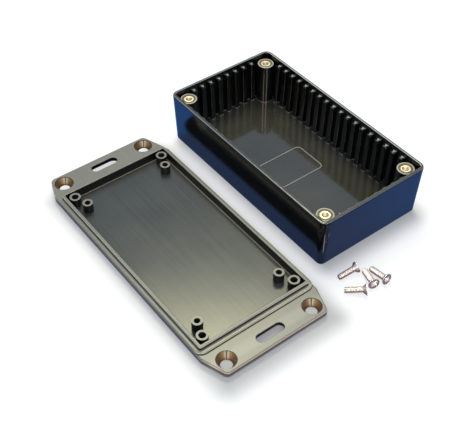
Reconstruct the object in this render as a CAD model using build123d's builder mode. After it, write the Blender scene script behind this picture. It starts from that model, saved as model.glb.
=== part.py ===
"""Moulded instrument box with a flanged lid, brass inserts and lid screws, laid out taken apart.

The box stands open side up with the centre of its underside at the origin. The lid lies beside it, inner
side up, and the four screws lie loose past the end of the box. Units are millimetres.
"""
from build123d import *
from math import atan, cos, degrees, radians, sin, tan
import os

# Box shell
box_length = 112.0
box_width = 60.5
box_height = 27.0
wall = 1.7
floor_thickness = 3.0
wall_lean = 2.55
corner_radius = 3.8
base_radius = 1.2
rim_radius = 0.7
cavity_corner = 1.3
cavity_foot_corner = 0.65

# Card ribs on the inner walls
rib_pitch = 5.08
rib_width = 2.5
rib_depth = 2.1
rib_drop = 2.2
rib_radius = 0.35
rib_post_gap = 0.4

# Corner posts, and the place of the lid screws from the box ends and sides
screw_inset_x = 6.6
screw_inset_y = 6.45
post_diameter = 8.3
post_drop = 2.25
post_radius = 0.3

# Brass inserts
insert_diameter = 4.8
insert_length = 6.35
insert_sink = 0.15
insert_clearance = 0.02
insert_mouth = 0.25
insert_groove_depth = 0.3
insert_groove_width = 1.1

# Number four lid screws, 82 degree flat head, three eighths of an inch long
thread_diameter = 2.84
thread_minor = 2.26
screw_length = 9.53
head_diameter = 5.2
head_land = 0.25
head_angle = 82.0
screw_tip = 0.3
recess_reach = 3.0
recess_slot = 0.75
recess_depth = 1.2
recess_taper = 12.0

# Raised outline on the box floor, bare inside
label_length = 26.0
label_width = 18.8
label_line = 0.5
label_height = 0.25
label_radius = 2.5

# Lid: panel, flanges and seat
lid_panel = 2.0
flange_thickness = 3.7
flange_reach = 13.0
flange_taper = 4.25
flange_shoulder = 0.9
flange_shoulder_radius = 4.0
flange_corner = 2.5
flange_top_radius = 0.8
lid_edge_radius = 1.5
seat_height = 4.75
seat_radius = 0.5

# Lid tongue, which enters the rim of the box
tongue_height = 1.8
tongue_thickness = 1.3
tongue_clearance = 0.15
tongue_radius = 0.3
recess_corner = 0.4

# Lid bosses for the screws
boss_diameter = 5.2
boss_post_gap = 0.6
screw_hole_clearance = 0.36
head_clearance = 0.3

# Standoffs for a circuit board inside the lid, placed from the box ends and sides
standoff_inset_x = 13.5
standoff_inset_y = 8.95
standoff_diameter = 4.8
standoff_hole = 2.7
standoff_height = 4.65
standoff_hole_depth = 4.4

# Fixing holes and slots in the flanges, placed from the lid ends and the flange end corners. Each slot is
# relieved on the outer face, which leaves it a thin edge.
flange_hole_inset_x = 5.9
flange_hole_inset_y = 3.9
flange_hole = 5.2
flange_hole_mouth = 8.75
flange_hole_land = 0.7
slot_length = 13.6
slot_width = 4.2
slot_edge = 0.3
slot_relief = 1.6
slot_relief_depth = 1.9

# Layout: lid beside the box, screws past its end, each given from the near corner of the box
lid_shift = 8.13
lid_gap = 9.88
screw_layout = [
    (10.03, 12.03, 84.0),
    (21.85, 6.96, 49.2),
    (21.48, 11.3, -18.0),
    (23.0, 17.55, 2.5),
]

# Lengths worked out from the sizes above
side_run = tan(radians(wall_lean))
inner_length = box_length - 2 * wall
inner_width = box_width - 2 * wall
cavity_depth = box_height - floor_thickness
cavity_lean = cavity_depth * side_run
root_level = floor_thickness / 2
rib_top = box_height - rib_drop
post_top = box_height - post_drop
post_x = box_length / 2 - screw_inset_x
post_y = box_width / 2 - screw_inset_y
insert_top = post_top - insert_sink
pocket_diameter = insert_diameter + 2 * insert_clearance
lid_y = -box_width - lid_gap
lid_length = box_length + 2 * flange_reach
flange_end_width = box_width - 2 * flange_taper
flange_hole_spacing_x = lid_length - 2 * flange_hole_inset_x
flange_hole_spacing_y = flange_end_width - 2 * flange_hole_inset_y
standoff_spacing_x = box_length - 2 * standoff_inset_x
standoff_spacing_y = box_width - 2 * standoff_inset_y
lid_plane = Plane(origin=(lid_shift, lid_y, 0))
tongue_top = seat_height + tongue_height
tongue_length = inner_length - 2 * tongue_clearance
tongue_width = inner_width - 2 * tongue_clearance
recess_length = tongue_length - 2 * tongue_thickness
recess_width = tongue_width - 2 * tongue_thickness
boss_top = seat_height + post_drop - boss_post_gap
screw_hole = thread_diameter + screw_hole_clearance
head_seat = head_diameter + head_clearance


def centred_row(count):
    """Positions of a row of copies, one rib pitch apart and centred on zero."""
    return [(index - (count - 1) / 2) * rib_pitch for index in range(count)]


def rib_count(post_place):
    """How many ribs fit between two corner posts, whose centres stand at plus and minus post_place."""
    free = 2 * post_place - post_diameter - rib_width - 2 * rib_post_gap
    return int(free / rib_pitch) + 1


# One card rib, its back in the wall: the wall's inner face meets the rim plane at y = 0
rib_rows = {"long": centred_row(rib_count(post_x)), "short": centred_row(rib_count(post_y))}
rib_back = wall / 2
with BuildPart() as card_rib:
    with BuildSketch(Plane.YZ) as rib_side:
        with BuildLine():
            Polyline(
                (rib_back - rib_drop * side_run, rib_top),
                (-rib_depth - rib_drop * side_run, rib_top),
                (-rib_depth - (box_height - root_level) * side_run, root_level),
                (rib_back - (box_height - root_level) * side_run, root_level),
                close=True,
            )
        make_face()
    extrude(amount=rib_width / 2, both=True)
    rib_top_edges = card_rib.faces().sort_by(Axis.Z)[-1].edges().sort_by(Axis.Y)[:-1]
    rib_front_edges = card_rib.faces().sort_by(Axis.Y)[0].edges().filter_by(Axis.X, reverse=True)
    fillet(rib_top_edges + rib_front_edges, rib_radius)

# One corner post
with BuildPart() as corner_post:
    with BuildSketch(Plane.XY.offset(root_level)):
        Circle(post_diameter / 2)
    extrude(amount=post_top - root_level)
    fillet(corner_post.faces().sort_by(Axis.Z)[-1].edges(), post_radius)

# Box shell: leaning walls, rounded rim and base, ribs, posts and the label outline
with BuildPart() as box_shell:
    with BuildSketch(Plane.XY):
        RectangleRounded(
            box_length - 2 * box_height * side_run,
            box_width - 2 * box_height * side_run,
            corner_radius - box_height * side_run,
        )
    with BuildSketch(Plane.XY.offset(box_height)):
        RectangleRounded(box_length, box_width, corner_radius)
    loft(ruled=True)
    fillet(box_shell.faces().sort_by(Axis.Z)[0].edges(), base_radius)
    fillet(box_shell.faces().sort_by(Axis.Z)[-1].edges(), rim_radius)
    with BuildSketch(Plane.XY.offset(floor_thickness)):
        RectangleRounded(
            inner_length - 2 * cavity_lean,
            inner_width - 2 * cavity_lean,
            cavity_foot_corner,
        )
    with BuildSketch(Plane.XY.offset(box_height)):
        RectangleRounded(inner_length, inner_width, cavity_corner)
    loft(ruled=True, mode=Mode.SUBTRACT)
    with Locations(*[Location((x, inner_width / 2, 0)) for x in rib_rows["long"]]):
        add(card_rib.part)
    with Locations(*[Location((x, -inner_width / 2, 0), (0, 0, 180)) for x in rib_rows["long"]]):
        add(card_rib.part)
    with Locations(*[Location((inner_length / 2, y, 0), (0, 0, -90)) for y in rib_rows["short"]]):
        add(card_rib.part)
    with Locations(*[Location((-inner_length / 2, y, 0), (0, 0, 90)) for y in rib_rows["short"]]):
        add(card_rib.part)
    with GridLocations(2 * post_x, 2 * post_y, 2, 2):
        add(corner_post.part)
    with BuildSketch(Plane.XY.offset(post_top)):
        with GridLocations(2 * post_x, 2 * post_y, 2, 2):
            Circle(pocket_diameter / 2)
    extrude(amount=-(insert_length + insert_sink), mode=Mode.SUBTRACT)
    with BuildSketch(Plane.XY.offset(floor_thickness)):
        RectangleRounded(label_width, label_length, label_radius)
        RectangleRounded(
            label_width - 2 * label_line,
            label_length - 2 * label_line,
            label_radius - label_line,
            mode=Mode.SUBTRACT,
        )
    extrude(amount=label_height)
box_shell.part.label = "box_shell"

# Flanged lid, inner side up: flanges, seat, tongue, recess, bosses, standoffs, holes and slots
with BuildPart(lid_plane) as flanged_lid:
    flange_x = box_length / 2 + flange_shoulder
    with BuildSketch(lid_plane) as flange_outline:
        with BuildLine():
            Polyline(
                (-lid_length / 2, -flange_end_width / 2),
                (-flange_x, -box_width / 2),
                (flange_x, -box_width / 2),
                (lid_length / 2, -flange_end_width / 2),
                (lid_length / 2, flange_end_width / 2),
                (flange_x, box_width / 2),
                (-flange_x, box_width / 2),
                (-lid_length / 2, flange_end_width / 2),
                close=True,
            )
        make_face()
        end_vertices = flange_outline.vertices().group_by(Axis.X)
        fillet(end_vertices[0] + end_vertices[-1], flange_corner)
        side_vertices = flange_outline.vertices().group_by(Axis.Y)
        fillet(side_vertices[0] + side_vertices[-1], flange_shoulder_radius)
    extrude(amount=flange_thickness)
    fillet(flanged_lid.faces().sort_by(Axis.Z)[-1].edges(), flange_top_radius)
    fillet(flanged_lid.faces().sort_by(Axis.Z)[0].edges(), lid_edge_radius)
    with BuildSketch(lid_plane.offset(lid_edge_radius + seat_radius)):
        RectangleRounded(box_length, box_width, corner_radius)
    extrude(amount=seat_height - lid_edge_radius - seat_radius)
    fillet(flanged_lid.faces().sort_by(Axis.Z)[-1].edges(), seat_radius)
    with BuildSketch(lid_plane.offset(seat_height)):
        RectangleRounded(tongue_length, tongue_width, cavity_corner - tongue_clearance)
    extrude(amount=tongue_height)
    with BuildSketch(lid_plane.offset(lid_panel)):
        RectangleRounded(recess_length, recess_width, recess_corner)
    extrude(amount=tongue_top - lid_panel, mode=Mode.SUBTRACT)
    fillet(flanged_lid.faces().sort_by(Axis.Z)[-1].edges(), tongue_radius)
    with BuildSketch(lid_plane.offset(lid_panel)):
        with GridLocations(2 * post_x, 2 * post_y, 2, 2):
            Circle(boss_diameter / 2)
    extrude(amount=boss_top - lid_panel)
    with BuildSketch(lid_plane.offset(lid_panel)):
        with GridLocations(standoff_spacing_x, standoff_spacing_y, 2, 2):
            Circle(standoff_diameter / 2)
    extrude(amount=standoff_height)
    with BuildSketch(lid_plane.offset(lid_panel + standoff_height)):
        with GridLocations(standoff_spacing_x, standoff_spacing_y, 2, 2):
            Circle(standoff_hole / 2)
    extrude(amount=-standoff_hole_depth, mode=Mode.SUBTRACT)
    with Locations(*[Location((sx * post_x, sy * post_y, 0), (180, 0, 0)) for sx in (-1, 1) for sy in (-1, 1)]):
        CounterSinkHole(screw_hole / 2, head_seat / 2, counter_sink_angle=head_angle)
    cone_depth = flange_thickness - flange_hole_land
    cone_angle = 2 * degrees(atan((flange_hole_mouth - flange_hole) / 2 / cone_depth))
    with Locations(Location((0, 0, flange_thickness))):
        with GridLocations(flange_hole_spacing_x, flange_hole_spacing_y, 2, 2):
            CounterSinkHole(flange_hole / 2, flange_hole_mouth / 2, counter_sink_angle=cone_angle)
    with BuildSketch(lid_plane):
        with GridLocations(flange_hole_spacing_x, 0, 2, 1):
            SlotOverall(slot_length, slot_width, rotation=90)
    extrude(amount=flange_thickness, mode=Mode.SUBTRACT)
    fillet(flanged_lid.edges(Select.LAST).group_by(Axis.Z)[-1], slot_edge)
    with BuildSketch(lid_plane):
        with GridLocations(flange_hole_spacing_x, 0, 2, 1):
            SlotOverall(slot_length + 2 * slot_relief, slot_width + 2 * slot_relief, rotation=90)
    extrude(amount=slot_relief_depth, mode=Mode.SUBTRACT)
flanged_lid.part.label = "flanged_lid"


def brass_insert(x, y):
    """Threaded insert: a grooved brass sleeve, bored to the thread's minor diameter."""
    with BuildPart() as insert:
        with BuildSketch(Plane.XY.offset(insert_top)):
            with Locations((x, y)):
                Circle(insert_diameter / 2)
                Circle(thread_minor / 2, mode=Mode.SUBTRACT)
        extrude(amount=-insert_length)
        mouth = insert.faces().sort_by(Axis.Z)[-1].edges().sort_by(SortBy.RADIUS)[0]
        chamfer(mouth, insert_mouth)
        with BuildSketch(Plane.XY.offset(insert_top - (insert_length - insert_groove_width) / 2)):
            with Locations((x, y)):
                Circle(insert_diameter / 2)
                Circle(insert_diameter / 2 - insert_groove_depth, mode=Mode.SUBTRACT)
        extrude(amount=-insert_groove_width, mode=Mode.SUBTRACT)
    return insert.part


def screw_seat(right, inward, heading):
    """Plane of a lying screw's head face: the head's land and the thread's tip touch the surface below.

    The plane's normal runs from the head along the thread, so the thread points away from the heading.
    """
    tilt = atan((head_diameter - thread_diameter) / 2 / (screw_length - screw_tip - head_land))
    lift = head_diameter / 2 * cos(tilt) + head_land * sin(tilt)
    away = radians(heading + 180)
    along = (cos(tilt) * cos(away), cos(tilt) * sin(away), -sin(tilt))
    centre = (box_length / 2 + right, -box_width / 2 + inward, lift)
    return Plane(origin=centre, x_dir=(-sin(away), cos(away), 0), z_dir=along)


def lid_screw(seat):
    """Flat-head screw with a cross recess, its head face on the seat plane and its thread along the normal."""
    cone_end = head_land + (head_diameter - thread_diameter) / 2 / tan(radians(head_angle / 2))
    side = Plane(origin=seat.origin, x_dir=seat.x_dir, z_dir=-seat.y_dir)
    with BuildPart() as screw:
        with BuildSketch(side):
            with BuildLine():
                Polyline(
                    (0, 0),
                    (head_diameter / 2, 0),
                    (head_diameter / 2, head_land),
                    (thread_diameter / 2, cone_end),
                    (thread_diameter / 2, screw_length - screw_tip),
                    (thread_diameter / 2 - screw_tip, screw_length),
                    (0, screw_length),
                    close=True,
                )
            make_face()
        revolve(axis=Axis(seat.origin, seat.z_dir))
        with BuildSketch(seat):
            Rectangle(recess_reach, recess_slot)
            Rectangle(recess_slot, recess_reach)
        extrude(amount=recess_depth, taper=recess_taper, mode=Mode.SUBTRACT)
    return screw.part


# Inserts in the posts, and the loose screws
insert_places = [(sx * post_x, sy * post_y) for sy in (-1, 1) for sx in (-1, 1)]
pieces = [box_shell.part, flanged_lid.part]
for number, (x, y) in enumerate(insert_places, start=1):
    insert_part = brass_insert(x, y)
    insert_part.label = f"brass_insert_{number}"
    pieces.append(insert_part)
for number, (right, inward, heading) in enumerate(screw_layout, start=1):
    screw_part = lid_screw(screw_seat(right, inward, heading))
    screw_part.label = f"lid_screw_{number}"
    pieces.append(screw_part)

os.makedirs("parts", exist_ok=True)
for piece in pieces:
    export_step(piece, f"parts/{piece.label}.step")
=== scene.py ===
"""Looks of an open instrument box, its flanged lid, four threaded inserts and four lid screws.

The frame holds the shell and the lid, which get their finishes here. The inserts and the screws are modelled
again with their threads and stand for the plain solids of the frame. Units are metres throughout.
"""

import logging
import math
from dataclasses import dataclass
from enum import Enum
from functools import cached_property
from itertools import pairwise
from typing import Callable, Iterable, Sequence, Union

import bpy
from mathutils import Matrix, Vector


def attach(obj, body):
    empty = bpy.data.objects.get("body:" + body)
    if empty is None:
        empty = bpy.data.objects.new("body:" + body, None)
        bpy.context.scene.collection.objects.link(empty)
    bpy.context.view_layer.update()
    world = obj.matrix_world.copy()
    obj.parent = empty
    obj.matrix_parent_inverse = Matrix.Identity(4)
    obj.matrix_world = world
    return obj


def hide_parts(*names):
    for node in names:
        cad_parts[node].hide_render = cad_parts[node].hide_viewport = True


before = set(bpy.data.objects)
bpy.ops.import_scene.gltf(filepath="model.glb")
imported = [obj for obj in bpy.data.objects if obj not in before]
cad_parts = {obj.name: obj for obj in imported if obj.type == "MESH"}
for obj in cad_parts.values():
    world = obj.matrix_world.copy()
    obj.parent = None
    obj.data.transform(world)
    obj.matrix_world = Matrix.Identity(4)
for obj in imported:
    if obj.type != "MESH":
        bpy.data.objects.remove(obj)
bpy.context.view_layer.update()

log = logging.getLogger("instrument_box")

Colour = tuple[float, float, float]
Span = tuple[float, ...]
Number = Union[float, "Signal"]
Paint = Union[Colour, "Signal"]
Piece = bpy.types.Object
Material = bpy.types.Material

MM = 0.001
BODY = "root"
WHITE: Colour = (1.0, 1.0, 1.0)
AMBER: Colour = (1.0, 0.86, 0.68)
SMOOTH = math.radians(30)
WELD = 0.001 * MM
PLASTIC_IOR = 1.53

# Sizes that the finishes and the new pieces share with the frame
BOX_LENGTH = 112.0 * MM
BOX_WIDTH = 60.5 * MM
BOX_HEIGHT = 27.0 * MM
BOX_WALL = 1.7 * MM
BOX_FLOOR = 3.0 * MM
WALL_LEAN = math.tan(math.radians(2.55))
BOX_CORNER = 3.8 * MM
SHADE_INSET = 4.0 * MM + BOX_HEIGHT * WALL_LEAN
CORNER_X = BOX_LENGTH / 2 - BOX_CORNER
CORNER_Y = BOX_WIDTH / 2 - BOX_CORNER
RIB_PITCH = 5.08 * MM
# Size of the painted highlight on each rib top's corner
RIB_HIGHLIGHT_REACH = 1.8 * MM
RIB_HIGHLIGHT_HALF = 1.1 * MM
RIB_BACK_X = BOX_LENGTH / 2 - BOX_WALL - 0.1 * MM
RIB_BACK_Y = BOX_WIDTH / 2 - BOX_WALL - 0.1 * MM
POST_X = BOX_LENGTH / 2 - 6.6 * MM
POST_Y = BOX_WIDTH / 2 - 6.45 * MM
POST_TOP = BOX_HEIGHT - 2.25 * MM
LID_X = 8.13 * MM
LID_Y = -(BOX_WIDTH + 9.88 * MM)
LID_LENGTH = 138.0 * MM
LID_PANEL = 2.0 * MM
RECESS_INSET = BOX_WALL + 0.15 * MM + 1.3 * MM
RECESS_LENGTH = BOX_LENGTH - 2 * RECESS_INSET
RECESS_WIDTH = BOX_WIDTH - 2 * RECESS_INSET
HOLE_X = LID_LENGTH / 2 - 5.9 * MM
SLOT_HALF_RUN = 4.7 * MM
HOLE_Y = BOX_WIDTH / 2 - 4.25 * MM - 3.9 * MM
STANDOFF_X = BOX_LENGTH / 2 - 13.5 * MM
STANDOFF_Y = BOX_WIDTH / 2 - 8.95 * MM


def mm(*lengths: float) -> Span:
    """Lengths given in millimetres, as metres."""
    return tuple(length * MM for length in lengths)


# Shader tools
def maths(operation: str, swapped: bool = False) -> Callable[..., "Signal"]:
    """Make a method of Signal that adds a Math node.

    Args:
        operation: What the node works out, in Blender's name.
        swapped: Whether the signal comes after the other value.

    Returns:
        The method.
    """

    def method(self: "Signal", *others: Number) -> "Signal":
        """Add the node to this value and the others, and return its result."""
        values = (*others, self) if swapped else (self, *others)
        return self.bench.node("ShaderNodeMath", {"operation": operation}, dict(enumerate(values)))

    return method


class Signal:
    """A value on its way through a material's nodes; Python's operators add Math nodes to it."""

    def __init__(self, bench: "NodeBench", socket: bpy.types.NodeSocket) -> None:
        """Keep the node bench and the output socket that carries the value."""
        self.bench = bench
        self.socket = socket

    __add__ = __radd__ = maths("ADD")
    __sub__ = maths("SUBTRACT")
    __rsub__ = maths("SUBTRACT", swapped=True)
    __mul__ = __rmul__ = maths("MULTIPLY")
    __truediv__ = maths("DIVIDE")
    __abs__ = maths("ABSOLUTE")
    larger = maths("MAXIMUM")
    smaller = maths("MINIMUM")
    wave = maths("SINE")
    root = maths("SQRT")
    sign = maths("SIGN")
    fraction = maths("FRACT")

    def diagonal(self, other: "Signal") -> "Signal":
        """Length of the diagonal whose two sides are this value and another."""
        return (self * self + other * other).root()

    def between(self, low: float, high: float) -> "Signal":
        """Value that goes from low to high as this one goes from 0 to 1."""
        return self * (high - low) + low

    def rise(self, start: float, end: float, low: float = 0.0, high: float = 1.0) -> "Signal":
        """Smooth step from low to high as this value goes from start to end."""
        sockets = {"Value": self, "From Min": start, "From Max": end, "To Min": low, "To Max": high}
        return self.bench.node("ShaderNodeMapRange", {"interpolation_type": "SMOOTHSTEP"}, sockets)

    def fall(self, start: float, end: float) -> "Signal":
        """Smooth step from 1 to 0 as this value goes from start to end."""
        return self.rise(start, end, 1.0, 0.0)

    def band(self, start: float, full: float, fade: float, end: float) -> "Signal":
        """Smooth step up as this value goes from start to full, and down again from fade to end."""
        return self.rise(start, full) * self.fall(fade, end)


@dataclass(frozen=True)
class Pattern:
    """A noise: its cells to a metre along x, y and z, its finer layers, and a shift that tells it apart."""

    cells: Span
    detail: float
    shift: float = 0.0


class NodeBench:
    """The node tree of a material or of the world, with short ways to fill it."""

    def __init__(self, name: str, world: bpy.types.World | None = None) -> None:
        """Start with nothing but the output.

        Args:
            name: Name of the new material.
            world: The world to fill instead, where one is given.
        """
        self.material = world or bpy.data.materials.new(name)
        self.material.use_nodes = True
        self.tree = self.material.node_tree
        self.tree.nodes.clear()
        self.output = self.tree.nodes.new("ShaderNodeOutputWorld" if world else "ShaderNodeOutputMaterial")

    def node(
        self,
        kind: str,
        settings: dict[str, object] | None = None,
        sockets: dict[str | int, object] | None = None,
        out: str | int = 0,
    ) -> Signal:
        """Add a node, with its settings made first and its sockets filled or linked after them.

        Args:
            kind: Blender's name for the node's type.
            settings: Properties of the node, or "stops" for a ramp's places and colours.
            sockets: Input name or index, with a number, a colour or a signal to link.
            out: Name or index of the output wanted.

        Returns:
            The signal of that output.
        """
        made = self.tree.nodes.new(kind)
        for name, value in (settings or {}).items():
            if name == "stops":
                self._fill_ramp(made.color_ramp, value)
            else:
                setattr(made, name, value)
        for key, value in (sockets or {}).items():
            if isinstance(value, Signal):
                self.tree.links.new(value.socket, made.inputs[key])
            else:
                made.inputs[key].default_value = value
        return Signal(self, made.outputs[out])

    @staticmethod
    def _fill_ramp(ramp: bpy.types.ColorRamp, stops: Sequence[tuple[float, Colour]]) -> None:
        """Give a colour ramp its stops.

        Args:
            ramp: The ramp, as its node starts with it.
            stops: Places along the ramp, each with its colour.
        """
        while len(ramp.elements) > 1:
            ramp.elements.remove(ramp.elements[-1])
        ramp.elements[0].position = stops[0][0]
        ramp.elements[0].color = opaque(stops[0][1])
        for place, colour in stops[1:]:
            ramp.elements.new(place).color = opaque(colour)

    def noise(self, place: Signal, pattern: Pattern) -> Signal:
        """Noise from 0 to 1.

        Args:
            place: The vector that the noise reads.
            pattern: What the noise looks like.

        Returns:
            The noise's value.
        """
        sockets = {"Vector": place, "Location": (pattern.shift,) * 3, "Scale": pattern.cells}
        stretched = self.node("ShaderNodeMapping", None, sockets)
        reading = {"Vector": stretched, "Scale": 1.0, "Detail": pattern.detail}
        return self.node("ShaderNodeTexNoise", None, reading)

    def blend(self, share: Number, first: Paint, second: Paint) -> Signal:
        """Colour between two colours or signals, by share of the second."""
        sockets = {0: share, 6: opaque(first), 7: opaque(second)}
        return self.node("ShaderNodeMix", {"data_type": "RGBA"}, sockets, 2)

    def layered(self, ground: Paint, layers: Iterable[tuple[Signal, Paint]]) -> Signal:
        """Colour of a ground under layers.

        Args:
            ground: The colour under them all.
            layers: Masks, each with the colour that it lays over those before it.

        Returns:
            The colour that shows.
        """
        for mask, laid in layers:
            ground = self.blend(mask, ground, laid)
        return ground

    def tint(self, colour: Signal, strength: Signal) -> Signal:
        """Colour times a strength."""
        scaled = {"Vector": colour, "Scale": strength}
        return self.node("ShaderNodeVectorMath", {"operation": "SCALE"}, scaled, "Vector")

    def bump(
        self, height: Signal, depth: float, strength: float = 1.0, under: Signal | None = None
    ) -> Signal:
        """Normal bent by a height.

        Args:
            height: The height, from 0 to 1.
            depth: What a height of 1 stands for, in metres.
            strength: How much of the bend shows.
            under: The normal that is bent, where it isn't the surface's own.

        Returns:
            The bent normal.
        """
        sockets = {"Height": height, "Distance": depth, "Strength": strength}
        if under:
            sockets["Normal"] = under
        return self.node("ShaderNodeBump", None, sockets)

    def emission(self, colour: Paint, strength: Number = 1.0) -> Signal:
        """Shader that gives off a colour."""
        return self.node("ShaderNodeEmission", None, {"Color": opaque(colour), "Strength": strength})

    def surface(self, sockets: dict[str, object]) -> Material:
        """End the material in a Principled shader with these sockets and return the material."""
        return self.end_in(self.node("ShaderNodeBsdfPrincipled", None, sockets))

    def end_in(self, shader: Signal) -> Material:
        """Link a shader to the material's output and return the material."""
        self.tree.links.new(shader.socket, self.output.inputs["Surface"])
        return self.material


class Point:
    """The shaded point: its object coordinates as a vector, its x and y from a piece's middle, and its z."""

    middle: Span = (0.0, 0.0)

    def __init__(self, bench: NodeBench) -> None:
        """Add the nodes that read the point.

        Args:
            bench: The material's nodes.
        """
        self.bench = bench
        self.place = bench.node("ShaderNodeTexCoord", out="Object")
        x, y, self.z = (bench.node("ShaderNodeSeparateXYZ", None, {0: self.place}, axis) for axis in range(3))
        self.x = x - self.middle[0]
        self.y = y - self.middle[1]

    @cached_property
    def level(self) -> Signal:
        """How level the surface is: 1 where it faces straight up or down, 0 where it stands upright."""
        normal = self.bench.node("ShaderNodeNewGeometry", out="Normal")
        return abs(self.bench.node("ShaderNodeSeparateXYZ", None, {0: normal}, 2))

    @cached_property
    def depth(self) -> Signal:
        """Depth within the box's rounded outline about the piece's middle, less than nothing outside it."""
        past_x = abs(self.x) - CORNER_X
        past_y = abs(self.y) - CORNER_Y
        past_corner = past_x.larger(0.0).diagonal(past_y.larger(0.0))
        return BOX_CORNER - past_corner - past_x.larger(past_y).smaller(0.0)

    def from_four(self, across: float, along: float) -> Signal:
        """Distance from the nearest of four places, which lie mirrored about the piece's middles."""
        return (abs(self.x) - across).diagonal(abs(self.y) - along)


class ShellPoint(Point):
    """A point of the shell, with a mask of each area of the shell."""

    wall_edge: Span = mm(0.0, 0.1)
    below_rim: Span = mm(26.3, 26.5)
    floor_height: Span = mm(0.3, 0.6)
    label_height: Span = mm(0.08, 0.2)
    upward: Span = (0.55, 0.95)
    ledge_height: Span = mm(24.2, 24.4, 25.0, 25.2)
    corner_seam: Span = mm(-0.5, 0.5)
    halfway: Span = mm(-1.0, 1.0)
    rim_height: Span = mm(26.0, 26.3)
    # Bands and strengths of the painted highlight line along the rim's edges
    inner_highlight_band: Span = mm(0.90, 1.05, 1.35, 1.55)
    outer_highlight_band: Span = mm(0.15, 0.25, 0.50, 0.65)
    right_highlight_shift: float = 0.15 * MM
    inner_left: float = 0.60
    inner_right: float = 0.12
    outer_front: float = 0.45
    outer_left: float = 0.40
    outer_right: float = 0.34
    rib_highlight_edge: Span = mm(-0.05, 0.15)
    front_ribs: Span = mm(-26.2, -26.0)
    front_ribs_from: Span = mm(-14.0, -12.0)
    right_ribs: Span = mm(51.8, 52.0)
    right_ribs_to: Span = mm(-7.0, -5.0)
    nearly_upright: Span = (0.15, 0.35)
    post_reach: Span = mm(2.35, 2.45, 4.1, 4.2)
    ring_highlight_reach: Span = mm(3.15, 3.4, 3.85, 4.1)
    collar_reach: Span = mm(2.8, 3.0)

    @cached_property
    def outside(self) -> Signal:
        """The outer half of the leaning walls, below the rim."""
        inset = (BOX_HEIGHT - self.z) * WALL_LEAN + BOX_WALL / 2
        past_length = abs(self.x) + inset - BOX_LENGTH / 2
        past_width = abs(self.y) + inset - BOX_WIDTH / 2
        return past_length.larger(past_width).rise(*self.wall_edge) * self.z.fall(*self.below_rim)

    @cached_property
    def floor(self) -> Signal:
        """The floor between the walls."""
        return (1.0 - self.outside) * (self.z - BOX_FLOOR).fall(*self.floor_height)

    @cached_property
    def label(self) -> Signal:
        """The raised outline on the floor, which takes a painted highlight."""
        return self.floor * (self.z - BOX_FLOOR).rise(*self.label_height)

    @cached_property
    def facing(self) -> Signal:
        """All that faces up."""
        return self.level.rise(*self.upward)

    @cached_property
    def ledge(self) -> Signal:
        """The height of the tops of posts and ribs."""
        return self.z.band(*self.ledge_height)

    @cached_property
    def sides(self) -> tuple[Signal, ...]:
        """The +Y, -Y, -X and +X sides, parted at the corners."""
        corner_to_corner = BOX_WIDTH / 2 - BOX_LENGTH / 2
        long_side = (abs(self.y) - abs(self.x) - corner_to_corner).rise(*self.corner_seam)
        end = 1.0 - long_side
        back = self.y.rise(*self.halfway)
        right = self.x.rise(*self.halfway)
        return long_side * back, long_side * (1.0 - back), end * (1.0 - right), end * right

    @cached_property
    def rim(self) -> tuple[Signal, Signal]:
        """The rim's near sides, which take the floor's painted sheen, and the painted highlight line by its
        inner edge, its outer edge or both.
        """
        back, front, left, right = self.sides
        top = self.facing * self.z.rise(*self.rim_height)
        inner = self.depth.band(*self.inner_highlight_band)
        outer = (self.depth + right * self.right_highlight_shift).band(*self.outer_highlight_band)
        inner_strength = back + left * self.inner_left + right * self.inner_right
        outer_strength = front * self.outer_front + left * self.outer_left + right * self.outer_right
        return top * (front + right), top * (inner * inner_strength + outer * outer_strength)

    @cached_property
    def rib(self) -> Signal:
        """The painted highlight on the corner of each rib's top by its wall."""
        on_long = self.rib_highlight_corner(self.x, RIB_BACK_Y - abs(self.y))
        on_short = self.rib_highlight_corner(self.y, RIB_BACK_X - abs(self.x))
        return self.facing * self.ledge * on_long.larger(on_short).rise(*self.rib_highlight_edge)

    @staticmethod
    def rib_highlight_corner(along: Signal, depth: Signal) -> Signal:
        """Distance within the nearest rib's painted highlight corner, from places along the wall and off it.
        """
        across = abs((along / RIB_PITCH).fraction() - 0.5) * RIB_PITCH
        return (1.0 - depth / RIB_HIGHLIGHT_REACH) * RIB_HIGHLIGHT_HALF - across

    @cached_property
    def near_rib_sheen(self) -> Signal:
        """The rib tops round the near corner, which take the floor's painted sheen as a painted reflection of
        the same sky.
        """
        by_front = self.y.fall(*self.front_ribs) * self.x.rise(*self.front_ribs_from)
        by_right = self.x.rise(*self.right_ribs) * self.y.fall(*self.right_ribs_to)
        return self.level.rise(*self.nearly_upright) * self.ledge * by_front.larger(by_right)

    @cached_property
    def post(self) -> tuple[Signal, Signal, Signal]:
        """The posts' tops, the painted highlight ring at their edge and the collar round each insert."""
        reach = self.from_four(POST_X, POST_Y)
        top = self.facing * self.ledge * reach.band(*self.post_reach)
        return top, top * reach.band(*self.ring_highlight_reach), top * reach.fall(*self.collar_reach)


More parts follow.
